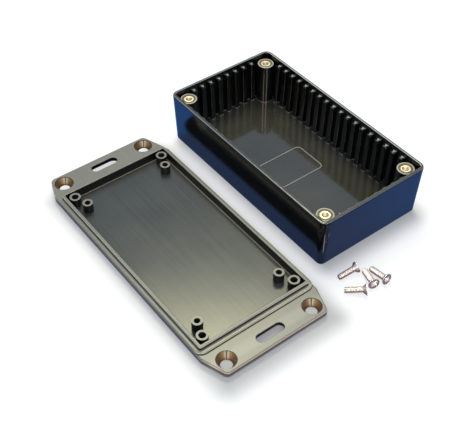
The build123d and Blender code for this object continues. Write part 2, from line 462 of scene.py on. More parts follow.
class LidPoint(Point):
    """A point of the lid, with a mask of each area of the lid."""

    middle: Span = (LID_X, LID_Y)
    recess_edge: Span = mm(-0.2, 0.2)
    recess_height: Span = mm(0.1, 0.4)
    seat_reach: Span = mm(54.3, 55.0, 56.0, 56.2)
    seat_height: Span = mm(4.2, 4.4)
    sheen_reach: Span = mm(58.5, 62.0, 64.0, 66.5)
    cone_reach: Span = mm(4.30, 4.40)
    mouth_reach: Span = mm(4.15, 4.25, 4.45, 4.55)
    boss_bore: Span = mm(1.70, 1.80)
    standoff_bore: Span = mm(1.37, 1.47)
    bore_top: Span = mm(6.0, 6.2)
    steep_level: Span = (0.5, 0.9)
    end_start: Span = mm(52.0, 53.0)
    shoulder: Span = mm(57.0, 58.0)
    outside_tongue: Span = mm(-0.75, -0.65)
    inside_tongue: Span = mm(-2.0, -1.8)
    slot_wall: Span = mm(2.3, 2.4)
    tongue_top: Span = mm(5.80, 5.95)
    seat_rim: Span = mm(0.5, 0.6)
    seat_rim_height: Span = mm(4.0, 4.1)
    lip_highlight_share: Span = (0.2, 1.0)
    side_height: Span = mm(2.9, 3.15)
    skirt_height: Span = mm(1.7, 2.1)
    brow_height: Span = mm(3.15, 3.3)
    step_shade_reach: Span = mm(-0.35, -0.25, 0.2, 0.3)
    step_shade_height: Span = mm(3.60, 3.65, 4.0, 4.1)

    @cached_property
    def margin(self) -> Signal:
        """Distance within the recess, less than nothing outside it."""
        return (RECESS_LENGTH / 2 - abs(self.x)).smaller(RECESS_WIDTH / 2 - abs(self.y))

    @cached_property
    def recess(self) -> Signal:
        """The floor of the recess."""
        return self.margin.rise(*self.recess_edge) * (self.z - LID_PANEL).fall(*self.recess_height)

    @cached_property
    def near_seat_sheen(self) -> Signal:
        """The seat at the near end, where a painted sheen lies."""
        return self.x.band(*self.seat_reach) * self.z.rise(*self.seat_height)

    @cached_property
    def flange_sheen_area(self) -> Signal:
        """The middle of the near flange, where a painted sheen lies."""
        return self.x.band(*self.sheen_reach)

    @cached_property
    def cone(self) -> tuple[Signal, Signal]:
        """The cones of the flange holes, and the line round their mouths."""
        reach = self.from_four(HOLE_X, HOLE_Y)
        return reach.fall(*self.cone_reach), reach.band(*self.mouth_reach)

    @cached_property
    def bore(self) -> Signal:
        """The bores of bosses and standoffs."""
        in_boss = self.from_four(POST_X, POST_Y).fall(*self.boss_bore)
        in_standoff = self.from_four(STANDOFF_X, STANDOFF_Y).fall(*self.standoff_bore)
        return in_boss.larger(in_standoff) * self.z.fall(*self.bore_top)

    @cached_property
    def edges(self) -> tuple[Signal, ...]:
        """The long sides for a painted reflection, the flanges' lower edge for painted shade and upper edge
        for a painted highlight, uprights for painted shade, lips for painted highlights and the seat's step
        for painted shade.
        """
        steep = self.level.fall(*self.steep_level)
        at_end = abs(self.x).rise(*self.end_start)
        past_shoulder = abs(self.x).rise(*self.shoulder)
        beyond = self.margin.fall(*self.outside_tongue)
        within = self.margin.rise(*self.inside_tongue)
        from_slot = abs(abs(self.x) - HOLE_X).larger(abs(self.y) - SLOT_HALF_RUN)
        by_slot = from_slot.fall(*self.slot_wall)
        # Painted highlights on the tongue's and the seat's lips, stronger at the ends
        tongue_lip = self.z.rise(*self.tongue_top)
        seat_lip = self.depth.fall(*self.seat_rim) * self.z.rise(*self.seat_rim_height)
        seat_lip = seat_lip * (1.0 - within) * at_end.between(*self.lip_highlight_share)
        outer = steep * (1.0 - within) * (1.0 - by_slot)
        low = outer * self.z.fall(*self.side_height)
        # Painted shade on the flanges' lower edge
        skirt_shade = low * past_shoulder * self.z.rise(*self.skirt_height)
        # Painted highlight on the flanges' upper edge
        brow_highlight = outer * past_shoulder * self.z.rise(*self.brow_height)
        # Painted shade on uprights inside the tongue and by the slots
        upright = steep * within.larger(by_slot)
        lip = steep * beyond * tongue_lip.larger(seat_lip)
        # Painted shade along the seat's step
        step_shade = self.depth.band(*self.step_shade_reach) * self.z.band(*self.step_shade_height)
        # The long sides' low part takes a painted reflection
        return low * (1.0 - past_shoulder), skirt_shade, brow_highlight, upright, lip, step_shade * at_end

    def across_cone(self, heading_x: float, heading_y: float) -> Signal:
        """How much of the direction from the nearest flange hole's middle lies along a heading.

        Args:
            heading_x: The heading's part along X.
            heading_y: The heading's part along Y.

        Returns:
            The share, from 0 to 1.
        """
        x = self.x - self.x.sign() * HOLE_X
        y = self.y - self.y.sign() * HOLE_Y
        return abs(x * heading_x + y * heading_y) / x.diagonal(y)


def opaque(paint: Paint) -> Signal | Span:
    """A colour with full opacity, or a signal as it is."""
    return paint if isinstance(paint, Signal) else (*paint, 1.0)


def stepped(ground: float, steps: Iterable[tuple[Signal, float]]) -> Signal:
    """Value of a ground, with another value in each of some masks that lie apart."""
    return sum(mask * (value - ground) for mask, value in steps) + ground


# Finishes
@dataclass(frozen=True)
class BoxPlastic:
    """Glossy black plastic of the shell: its floor, rim and rib tops are painted lighter than its walls, as
    painted sheen and painted highlights.
    """

    outer_colour: Colour = (0.0020, 0.0026, 0.0032)
    inner_colour: Colour = (0.004, 0.004, 0.004)
    floor_sheen_colour: Colour = (0.044, 0.042, 0.031)
    label_highlight_colour: Colour = (0.300, 0.290, 0.250)
    rim_highlight_colour: Colour = (0.520, 0.500, 0.440)
    rib_highlight_colour: Colour = (0.420, 0.420, 0.400)
    ring_highlight_colour: Colour = (0.480, 0.430, 0.330)
    collar_colour: Colour = (0.215, 0.155, 0.098)
    outer_roughness: float = 0.10
    inner_roughness: float = 0.16
    floor_roughness: float = 0.12
    post_roughness: float = 0.30
    coat: float = 0.8
    coat_roughness: float = 0.04
    coat_ior: float = 1.5
    clouds: Pattern = Pattern((70, 70, 70), 3.0)
    cloud_tint: Span = (0.75, 1.25)
    cloud_roughness: Span = (-0.03, 0.03)
    grain: Pattern = Pattern((4500, 4500, 4500), 2.0, 3.0)
    grain_share: Span = (0.4, 1.0)
    grain_depth: float = 0.002 * MM
    ripple: Pattern = Pattern((160, 160, 110), 2.0, 7.0)
    ripple_strength: float = 0.6
    ripple_depth: float = 0.010 * MM

    def make(self) -> Material:
        """Build the material from the masks of the shell's areas.

        Returns:
            The material.
        """
        bench = NodeBench("box_plastic")
        at = ShellPoint(bench)
        rim, line = at.rim
        post, ring, collar = at.post
        # Painted sheen: the floor's lighter colour, also laid on the near rim tops and near rib tops as a
        # painted reflection of the sky; all of these get the coat
        coated_sheen = at.floor.larger(rim).larger(at.near_rib_sheen * (1.0 - post))
        layers = (
            # Painted highlight on the rib tops' corners
            (at.rib, self.rib_highlight_colour),
            # Painted sheen on the floor, the near rim tops and the near rib tops
            (coated_sheen, self.floor_sheen_colour),
            # Painted highlight on the raised outline
            (at.label, self.label_highlight_colour),
            (at.outside, self.outer_colour),
            # Painted highlight line along the rim
            (line, self.rim_highlight_colour),
            # Painted highlight ring at the posts' edge
            (ring, self.ring_highlight_colour),
            (collar, self.collar_colour),
        )
        roughnesses = (
            (at.outside, self.outer_roughness),
            (at.floor, self.floor_roughness),
            (post, self.post_roughness),
        )
        clouds = bench.noise(at.place, self.clouds)
        colour = bench.layered(self.inner_colour, layers)
        grain = bench.noise(at.place, self.grain) * post.between(*self.grain_share)
        ripple = bench.noise(at.place, self.ripple)
        fine = bench.bump(grain, self.grain_depth)
        sockets = {
            "Base Color": bench.tint(colour, clouds.between(*self.cloud_tint)),
            "Roughness": stepped(self.inner_roughness, roughnesses) + clouds.between(*self.cloud_roughness),
            "Normal": bench.bump(ripple, self.ripple_depth, self.ripple_strength, fine),
            "IOR": PLASTIC_IOR,
            "Coat Weight": coated_sheen * self.coat,
            "Coat Roughness": self.coat_roughness,
            "Coat IOR": self.coat_ior,
        }
        return bench.surface(sockets)


@dataclass(frozen=True)
class LidPlastic:
    """Satin olive-black plastic of the lid, with fine tool streaks along its length, and painted highlights,
    shade and reflections on its edges, seat, flange, cones and bores.
    """

    colour: Colour = (0.205, 0.196, 0.172)
    recess_colour: Colour = (0.047, 0.051, 0.052)
    border_highlight_colour: Colour = (0.110, 0.090, 0.055)
    foot_highlight_colour: Colour = (0.420, 0.370, 0.260)
    upright_shade_colour: Colour = (0.006, 0.005, 0.004)
    lip_highlight_colour: Colour = (0.620, 0.560, 0.420)
    step_shade_colour: Colour = (0.020, 0.014, 0.006)
    seat_sheen_colour: Colour = (0.315, 0.292, 0.222)
    brow_highlight_colour: Colour = (0.680, 0.510, 0.370)
    skirt_shade_colour: Colour = (0.120, 0.085, 0.070)
    side_reflection_colour: Colour = (0.125, 0.130, 0.160)
    bore_shade_colour: Colour = (0.003, 0.003, 0.003)
    mouth_colour: Colour = (0.050, 0.030, 0.015)
    cone_reflection_bands: tuple[tuple[float, Colour], ...] = (
        (0.02, (0.060, 0.035, 0.008)),
        (0.14, (0.750, 0.680, 0.420)),
        (0.34, (0.440, 0.255, 0.125)),
        (0.65, (0.240, 0.130, 0.055)),
        (1.00, (0.100, 0.050, 0.020)),
    )
    cone_reflection_heading: Span = (0.606, 0.795)
    cone_shade: Span = (0.2 * MM, 1.8 * MM, 0.6, 0.0)
    border_highlight_reach: Span = mm(0.4, 1.6)
    foot_highlight_reach: Span = mm(0.35, 0.60)
    flange_sheen: float = 0.30
    roughness: float = 0.340
    recess_roughness: float = 0.225
    cone_roughness: float = 0.300
    bore_roughness: float = 0.600
    streak: Pattern = Pattern((28, 1700, 28), 2.5)
    streak_share: float = 0.65
    broad_streak: Pattern = Pattern((14, 420, 14), 2.0, 5.0)
    streak_tint: Span = (0.40, 0.75)
    streak_roughness: float = 0.08
    streak_height: Span = (0.2, 1.0)
    streak_depth: float = 0.006 * MM
    grain: Pattern = Pattern((3800, 3800, 3800), 2.0, 3.0)
    grain_depth: float = 0.004 * MM
    clouds: Pattern = Pattern((45, 45, 45), 3.0, 9.0)
    cloud_tint: float = 0.35
    cloud_roughness: float = 0.06

    def make(self) -> Material:
        """Build the material; the streaks are noise drawn out along x.

        Returns:
            The material.
        """
        bench = NodeBench("lid_plastic")
        at = LidPoint(bench)
        side, skirt_shade, brow_highlight, upright, lip, step_shade = at.edges
        cone, mouth = at.cone
        ramp = {"stops": self.cone_reflection_bands}
        layers = (
            # Painted sheen on the near seat
            (at.near_seat_sheen, self.seat_sheen_colour),
            (at.recess, self.recess_colour),
            # Painted highlight lines along the recess's border and foot
            (at.recess * at.margin.fall(*self.border_highlight_reach), self.border_highlight_colour),
            (at.recess * at.margin.fall(*self.foot_highlight_reach), self.foot_highlight_colour),
            # Painted reflection of the blue card on the long sides
            (side, self.side_reflection_colour),
            # Painted shade on the flanges' lower edge
            (skirt_shade, self.skirt_shade_colour),
            # Painted highlight on the flanges' upper edge
            (brow_highlight, self.brow_highlight_colour),
            # Painted shade on uprights
            (upright, self.upright_shade_colour),
            # Painted highlight on the lips
            (lip, self.lip_highlight_colour),
            # Painted shade along the seat's step
            (step_shade, self.step_shade_colour),
            # Painted reflection bands across each cone, read along a fixed heading
            (cone, bench.node("ShaderNodeValToRGB", ramp, {0: at.across_cone(*self.cone_reflection_heading)})),
            (mouth, self.mouth_colour),
            # Painted shade in the bores of bosses and standoffs
            (at.bore, self.bore_shade_colour),
        )
        roughnesses = (
            (at.recess, self.recess_roughness),
            (cone, self.cone_roughness),
            (at.bore, self.bore_roughness),
        )
        narrow = bench.noise(at.place, self.streak) * self.streak_share
        lines = narrow + bench.noise(at.place, self.broad_streak) * (1.0 - self.streak_share)
        streaks = lines - 0.5
        clouds = bench.noise(at.place, self.clouds) - 0.5
        # Painted sheen on the middle of the near flange, added to the random tone
        sheen = at.flange_sheen_area * self.flange_sheen
        patches_and_sheen = streaks * at.recess.between(*self.streak_tint) + clouds * self.cloud_tint + sheen + 1.0
        # Painted shade, darker down the cones
        cone_depth_shade = 1.0 - cone * at.z.rise(*self.cone_shade)
        uneven = streaks * self.streak_roughness + clouds * self.cloud_roughness
        fine = bench.bump(bench.noise(at.place, self.grain), self.grain_depth)
        drawn = lines * at.recess.between(*self.streak_height)
        sockets = {
            "Base Color": bench.tint(bench.layered(self.colour, layers), patches_and_sheen * cone_depth_shade),
            "Roughness": stepped(self.roughness, roughnesses) + uneven,
            "Normal": bench.bump(drawn, self.streak_depth, under=fine),
            "IOR": PLASTIC_IOR,
        }
        return bench.surface(sockets)


@dataclass(frozen=True)
class Brass:
    """Bright turned brass, its lathe lines in rings round each insert's axis."""

    colour: Colour = (0.88, 0.77, 0.54)
    bore_shade_colour: Colour = (0.68, 0.56, 0.36)
    roughness: Span = (0.35, 0.49)
    tarnish: Pattern = Pattern((900, 900, 900), 3.0)
    tarnish_tint: Span = (0.8, 1.2)
    bore_edge: Span = mm(1.40, 1.50)
    bore_top: Span = mm(24.1, 24.4)
    ring_pitch: float = 0.11 * MM
    ring_depth: float = 0.004 * MM

    def make(self) -> Material:
        """Build the material; one ring pattern serves the four posts, which lie mirrored about both middles.

        Returns:
            The material.
        """
        bench = NodeBench("brass")
        at = Point(bench)
        reach = at.from_four(POST_X, POST_Y)
        rings = (reach * (math.tau / self.ring_pitch)).wave() * 0.5 + 0.5
        # Painted shade in each insert's bore
        bore = reach.fall(*self.bore_edge) * at.z.fall(*self.bore_top)
        tarnish = bench.noise(at.place, self.tarnish)
        colour = bench.blend(bore, self.colour, self.bore_shade_colour)
        sockets = {
            "Base Color": bench.tint(colour, tarnish.between(*self.tarnish_tint)),
            "Roughness": tarnish.between(*self.roughness),
            "Normal": bench.bump(rings, self.ring_depth),
            "Metallic": 1.0,
        }
        return bench.surface(sockets)


@dataclass(frozen=True)
class ScrewSteel:
    """Nickel-plated steel of the lid screws, warm and slightly uneven."""

    colour: Colour = (0.95, 0.87, 0.80)
    shade_colour: Colour = (0.86, 0.78, 0.76)
    roughness: Span = (0.35, 0.45)
    clouds: Pattern = Pattern((700, 700, 700), 3.0)
    marks: Pattern = Pattern((6000, 6000, 6000), 2.0, 4.0)
    mark_depth: float = 0.001 * MM

    def make(self) -> Material:
        """Build the material from two noises, one for the plating's cloudiness and one for fine marks.

        Returns:
            The material.
        """
        bench = NodeBench("screw_steel")
        place = Point(bench).place
        clouds = bench.noise(place, self.clouds)
        sockets = {
            "Base Color": bench.blend(clouds, self.colour, self.shade_colour),
            "Roughness": clouds.between(*self.roughness),
            "Normal": bench.bump(bench.noise(place, self.marks), self.mark_depth),
            "Metallic": 1.0,
        }
        return bench.surface(sockets)


class GroundPoint(Point):
    """A point of the ground, with its distances from the pieces that stand on it."""

    lid_foot: Span = (LID_X, LID_Y, 62.0 * MM, 27.0 * MM)
    lid_reach: Span = mm(6.5, 9.0)
    lid_side: Span = mm(-31.0, -29.0)
    screws_from: Span = mm(60.0, 62.0)
    screws_to: Span = mm(0.0, 5.0)
    screws_range: Span = mm(8.0, 10.0)
    streak_width: Span = (0.03, 0.08)
    streak_from: Span = mm(8.0, 10.0)
    streak_to: Span = mm(17.0, 21.0)

    def past(self, middle_x: float, middle_y: float, half_length: float, half_width: float) -> Signal:
        """Distance outside a rectangle."""
        past_x = (abs(self.x - middle_x) - half_length).larger(0.0)
        return past_x.diagonal((abs(self.y - middle_y) - half_width).larger(0.0))

    @cached_property
    def lid_shade_patch(self) -> Signal:
        """Mask of the painted dark patch of shade on the card before the lid."""
        return self.past(*self.lid_foot).fall(*self.lid_reach) * self.y.fall(*self.lid_side)

    @cached_property
    def near_screws_shade(self) -> Signal:
        """Mask of the ground that the screws mirror from close by, where the card carries painted shade."""
        length = self.bench.node("ShaderNodeLightPath", out="Ray Length")
        return self.x.rise(*self.screws_from) * self.y.fall(*self.screws_to) * length.fall(*self.screws_range)

    def streak(self, heading_x: float, heading_y: float) -> Signal:
        """Mask of a painted bright streak on the card that runs from the box's near corner, square to a
        heading.

        Args:
            heading_x: The heading's part along X.
            heading_y: The heading's part along Y.

        Returns:
            The mask.
        """
        x = self.x - CORNER_X
        y = self.y + CORNER_Y
        reach = x.diagonal(y)
        aside = abs(x * heading_x + y * heading_y) / reach
        return aside.fall(*self.streak_width) * x.rise(*self.streak_from) * reach.fall(*self.streak_to)


@dataclass(frozen=True)
class GroundPaper:
    """White paper to the camera, which keeps the real shadows at part strength and adds painted shadows round
    the box and lid, and a glowing blue card, with painted shade and a painted bright streak, to what mirrors
    it.
    """

    paper: Colour = (0.80, 0.80, 0.80)
    seen_paper: Colour = (0.35, 0.35, 0.35)
    lift: float = 0.68
    far: Span = (0.25, 0.6)
    shade: Span = (0.0, 12.0 * MM, 0.30, 1.0)
    box_shade: Span = (4.0 * MM, 0.0, BOX_LENGTH / 2 - SHADE_INSET, BOX_WIDTH / 2 - SHADE_INSET)
    lid_shade: Span = (LID_X + 7.0 * MM, LID_Y, LID_LENGTH / 2 - 5.5 * MM, BOX_WIDTH / 2 - 3.5 * MM)
    front_from: Span = mm(-58.0, -50.0)
    right_from: Span = mm(45.0, 62.0)
    right_depth: Span = mm(-25.0, 40.0)
    left_card: Colour = (0.11, 0.34, 1.02)
    front_card: Colour = (0.117, 0.19, 0.43)
    right_near_card: Colour = (0.19, 0.27, 0.60)
    right_far_card: Colour = (0.16, 0.34, 0.88)
    lid_shade_card: Colour = (0.02, 0.02, 0.022)
    glint_card: Colour = (6.0, 4.9, 4.0)
    glint_heading: Span = (0.384, 0.923)
    screw_shade_card: Colour = (0.17, 0.12, 0.125)

    def make(self) -> Material:
        """Build the material.

        Returns:
            The material.
        """
        bench = NodeBench("ground_paper")
        at = GroundPoint(bench)
        glossy = bench.node("ShaderNodeLightPath", out="Is Glossy Ray")
        camera = bench.node("ShaderNodeLightPath", out="Is Camera Ray")
        # Painted shadows round the box's and the lid's footprints dim the glow that lifts the paper
        shade = at.past(*self.box_shade).rise(*self.shade) * at.past(*self.lid_shade).rise(*self.shade)
        colour = bench.blend(camera, self.paper, self.seen_paper)
        paper = bench.node("ShaderNodeBsdfDiffuse", None, {"Color": colour})
        lift = bench.emission(WHITE, camera * shade * self.lift)
        lifted = bench.node("ShaderNodeAddShader", None, {0: paper, 1: lift})
        far = at.x.diagonal(at.y).rise(*self.far) * camera
        seen = bench.node("ShaderNodeMixShader", None, {0: far, 1: lifted, 2: bench.emission(WHITE)})
        # What mirrors the ground sees a glowing card: blue, with painted dark patches of shade before the lid
        # and by the screws, and a painted bright streak from the box's corner
        right_card = bench.blend(at.y.rise(*self.right_depth), self.right_near_card, self.right_far_card)
        cards = (
            (at.x.rise(*self.front_from), self.front_card),
            (at.x.rise(*self.right_from), right_card),
            (at.lid_shade_patch, self.lid_shade_card),
            (at.streak(*self.glint_heading), self.glint_card),
            (at.near_screws_shade, self.screw_shade_card),
        )
        mirrored = bench.emission(bench.layered(self.left_card, cards))
        return bench.end_in(bench.node("ShaderNodeMixShader", None, {0: glossy, 1: seen, 2: mirrored}))


# Modelling tools
class Pick(Enum):
    """What is picked in edit mode."""

    EDGES = "EDGE"
    FACES = "FACE"


class Joining(Enum):
    """What a tool does to an object: it is united with it or cut from it."""

    UNITE = "UNION"
    CUT = "DIFFERENCE"


def clear_selection() -> None:
    """Leave edit mode and deselect everything."""
    if bpy.context.object and bpy.context.object.mode != "OBJECT":
        bpy.ops.object.mode_set(mode="OBJECT")
    bpy.ops.object.select_all(action="DESELECT")


def choose(obj: Piece) -> None:
    """Make an object the only selected one, and the active one.

    Args:
        obj: The object.
    """
    clear_selection()
    obj.select_set(True)
    bpy.context.view_layer.objects.active = obj


def start_edit(kind: Pick) -> None:
    """Enter edit mode with nothing selected.

    Args:
        kind: What is picked there.
    """
    bpy.ops.object.mode_set(mode="EDIT")
    bpy.ops.mesh.select_mode(type=kind.value)
    bpy.ops.mesh.select_all(action="DESELECT")


def end_edit() -> None:
    """Turn all faces outwards and leave edit mode."""
    bpy.ops.mesh.select_all(action="SELECT")
    bpy.ops.mesh.normals_make_consistent(inside=False)
    bpy.ops.object.mode_set(mode="OBJECT")


def select_faces(obj: Piece, wanted: Callable[[bpy.types.MeshPolygon], bool]) -> None:
    """Select, in edit mode, only some of the faces.

    Args:
        obj: The object in edit mode.
        wanted: Test of a face.
    """
    bpy.ops.mesh.select_all(action="DESELECT")
    bpy.ops.object.mode_set(mode="OBJECT")
    for face in obj.data.polygons:
        face.select = wanted(face)
    bpy.ops.object.mode_set(mode="EDIT")


def turned(name: str, profile: Sequence[tuple[float, float]], sides: int) -> Piece:
    """Model a turned shape round Z: a circle is extruded from ring to ring along its profile.

    Args:
        name: Name of the object.
        profile: Radius and height of each ring, in order; a last ring equal to the first closes the shape,
            and other profiles are capped at both ends.
        sides: How many faces go round.

    Returns:
        The new object.
    """
    clear_selection()
    radius, height = profile[0]
    closed = profile[0] == profile[-1]
    fill = "NOTHING" if closed else "TRIFAN"
    bpy.ops.mesh.primitive_circle_add(vertices=sides, radius=radius, fill_type=fill, location=(0, 0, height))
    obj = bpy.context.object
    obj.name = name
    bpy.ops.object.transform_apply(location=True)
    start_edit(Pick.EDGES)
    bpy.ops.mesh.select_non_manifold()
    for (old_radius, old_height), (new_radius, new_height) in pairwise(profile):
        step = (0, 0, new_height - old_height)
        bpy.ops.mesh.extrude_edges_move(TRANSFORM_OT_translate={"value": step})
        share = new_radius / old_radius
        bpy.ops.transform.resize(value=(share, share, 1), center_override=(0, 0, new_height))
    if not closed:
        bpy.ops.mesh.edge_face_add()
        bpy.ops.mesh.poke()
    bpy.ops.mesh.select_all(action="SELECT")
    bpy.ops.mesh.remove_doubles(threshold=WELD)
    end_edit()
    return obj


def helix(name: str, root: float, crest: float, pitch: float, start: float, end: float) -> Piece:
    """Model a thread's ridge: a three-cornered section wound round Z, its two ends drawn in to the root.

    Args:
        name: Name of the object.
        root: Radius of the ridge's broad side.
        crest: Radius of its edge, outside the root for a screw and inside it for a nut.
        pitch: Advance of one turn.
        start: Height at which the ridge begins.
        end: Height at which it ends.

    Returns:
        The new object.
    """
    steps = 24
    turns = max(1, round((end - start) / pitch))
    sunk = root - 0.12 * (crest - root)
    half_base = 0.47 * pitch
    clear_selection()
    bpy.ops.mesh.primitive_circle_add(vertices=3, radius=pitch / 2, fill_type="NOTHING")
    obj = bpy.context.object
    obj.name = name
    corners = [(crest, 0.0), (sunk, -half_base), (sunk, half_base)]
    for vertex, (radius, height) in zip(obj.data.vertices, corners):
        vertex.co = (radius, 0, start + height)
    winding = obj.modifiers.new("winding", "SCREW")
    winding.axis = "Z"
    winding.angle = math.tau
    winding.screw_offset = pitch
    winding.steps = winding.render_steps = steps
    winding.iterations = turns
    winding.use_merge_vertices = False
    choose(obj)
    bpy.ops.object.modifier_apply(modifier=winding.name)
    draw_in_ends(obj, sunk, crest, (start, start + turns * pitch), pitch / 2)
    start_edit(Pick.EDGES)
    bpy.ops.mesh.select_non_manifold()
    bpy.ops.mesh.fill_holes(sides=3)
    end_edit()
    return obj


def draw_in_ends(obj: Piece, sunk: float, crest: float, heights: Span, fade: float) -> None:
    """Let a ridge's edge sink to its root at both ends.

    Args:
        obj: The ridge.
        sunk: Radius of its broad side.
        crest: Radius of its edge.
        heights: Heights at which it begins and ends.
        fade: Height over which the edge sinks.
    """
    least = 0.02
    for vertex in obj.data.vertices:
        radius = math.hypot(vertex.co.x, vertex.co.y)
        if abs(radius - crest) < abs(radius - sunk):
            from_end = min(vertex.co.z - heights[0], heights[1] - vertex.co.z)
            share = min(1.0, max(least, from_end / fade))
            scale = (sunk + (crest - sunk) * share) / radius
            vertex.co.x *= scale
            vertex.co.y *= scale


def combine(obj: Piece, tool: Piece, joining: Joining) -> None:
    """Unite an object with a tool, or cut the tool from it, and delete the tool.

    Args:
        obj: The object.
        tool: The other object.
        joining: What the tool does.
    """
    cut = obj.modifiers.new(joining.name.lower(), "BOOLEAN")
    cut.operation = joining.value
    cut.solver = "EXACT"
    cut.object = tool
    choose(obj)
    bpy.ops.object.modifier_apply(modifier=cut.name)
    bpy.data.objects.remove(tool)


def copy_to(model: Piece, name: str, place: Matrix) -> Piece:
    """Copy a modelled object with its own mesh.

    Args:
        model: The object.
        name: Name of the copy and its mesh.
        place: Where the copy lies, which is worked into its mesh.

    Returns:
        The copy.
    """
    mesh = model.data.copy()
    mesh.name = name
    mesh.transform(place)
    mesh.update()
    copy = bpy.data.objects.new(name, mesh)
    bpy.context.scene.collection.objects.link(copy)
    return copy


def dress(obj: Piece, material: Material) -> None:
    """Give an object one material all over, and log its name, faces and size in millimetres.

    Args:
        obj: The object.
        material: The material.
    """
    obj.data.materials.clear()
    obj.data.materials.append(material)
    size = [round(side / MM, 2) for side in obj.dimensions]
    log.info("%s: %d faces, %s mm", obj.name, len(obj.data.polygons), size)


# Sub-assemblies
@dataclass
class Shell:
    """The box shell of the frame, dressed in its plastic."""

    node: str = "box_shell"
    finish: BoxPlastic = BoxPlastic()

    def build(self) -> None:
        """Dress the shell."""
        dress(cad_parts[self.node], self.finish.make())


@dataclass
class Lid:
    """The flanged lid of the frame, dressed in its plastic."""

    node: str = "flanged_lid"
    finish: LidPlastic = LidPlastic()

    def build(self) -> None:
        """Dress the lid."""
        dress(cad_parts[self.node], self.finish.make())


@dataclass
class Inserts:
    """The four threaded brass inserts in the corner posts."""

    radius: float = 2.4 * MM
    length: float = 6.35 * MM
    sink: float = 0.15 * MM
    bore: float = 1.42 * MM
    crest: float = 1.13 * MM
    pitch: float = 0.635 * MM
    mouth: float = 0.25 * MM
    lip: float = 0.12 * MM
    groove_depth: float = 0.3 * MM
    groove_width: float = 1.1 * MM
    knurl_depth: float = 0.12 * MM
    sides: int = 64
    finish: Brass = Brass()

    def build(self) -> None:
        """Model one insert, then copy it to the four posts."""
        material = self.finish.make()
        model = self.model()
        places = [(sx * POST_X, sy * POST_Y) for sy in (-1, 1) for sx in (-1, 1)]
        for number, (x, y) in enumerate(places, start=1):
            place = Matrix.Translation((x, y, POST_TOP - self.sink - self.length))
            piece = copy_to(model, f"threaded_insert_{number}", place)
            dress(piece, material)
            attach(piece, BODY)
            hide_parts(f"brass_insert_{number}")
        bpy.data.objects.remove(model)

    def model(self) -> Piece:
        """Turn the sleeve, press its knurls and wind the thread in its bore.

        Returns:
            The insert, standing on the origin.
        """
        groove_low = (self.length - self.groove_width) / 2
        groove_high = groove_low + self.groove_width
        waist = self.radius - self.groove_depth
        profile = [
            (self.radius - self.lip, 0.0),
            (self.radius, self.lip),
            (self.radius, groove_low),
            (waist, groove_low),
            (waist, groove_high),
            (self.radius, groove_high),
            (self.radius, self.length - self.lip),
            (self.radius - self.lip, self.length),
            (self.bore + self.mouth, self.length),
            (self.bore, self.length - self.mouth),
            (self.bore, self.mouth),
            (self.bore + self.mouth, 0.0),
            (self.radius - self.lip, 0.0),
        ]
        sleeve = turned("insert_model", profile, self.sides)
        self.press_knurls(sleeve)
        ends = (self.mouth, self.length - self.mouth)
        thread = helix("insert_thread", self.bore, self.crest, self.pitch, *ends)
        combine(sleeve, thread, Joining.UNITE)
        bpy.ops.object.shade_smooth_by_angle(angle=SMOOTH)
        return sleeve

    def press_knurls(self, sleeve: Piece) -> None:
        """Press every other line of the outer bands inwards, away from the sleeve's lips.

        Args:
            sleeve: The turned sleeve.
        """
        spacing = math.tau / self.sides
        share = (self.radius - self.knurl_depth) / self.radius
        for vertex in sleeve.data.vertices:
            turn = round(math.atan2(vertex.co.y, vertex.co.x) / spacing)
            on_band = math.hypot(vertex.co.x, vertex.co.y) > self.radius - self.lip / 2
            if on_band and turn % 2:
                vertex.co.x *= share
                vertex.co.y *= share


@dataclass(frozen=True)
class Lying:
    """Where a loose screw lies: its head's middle from the box's near corner, and its heading in degrees."""

    right: float
    inward: float
    heading: float


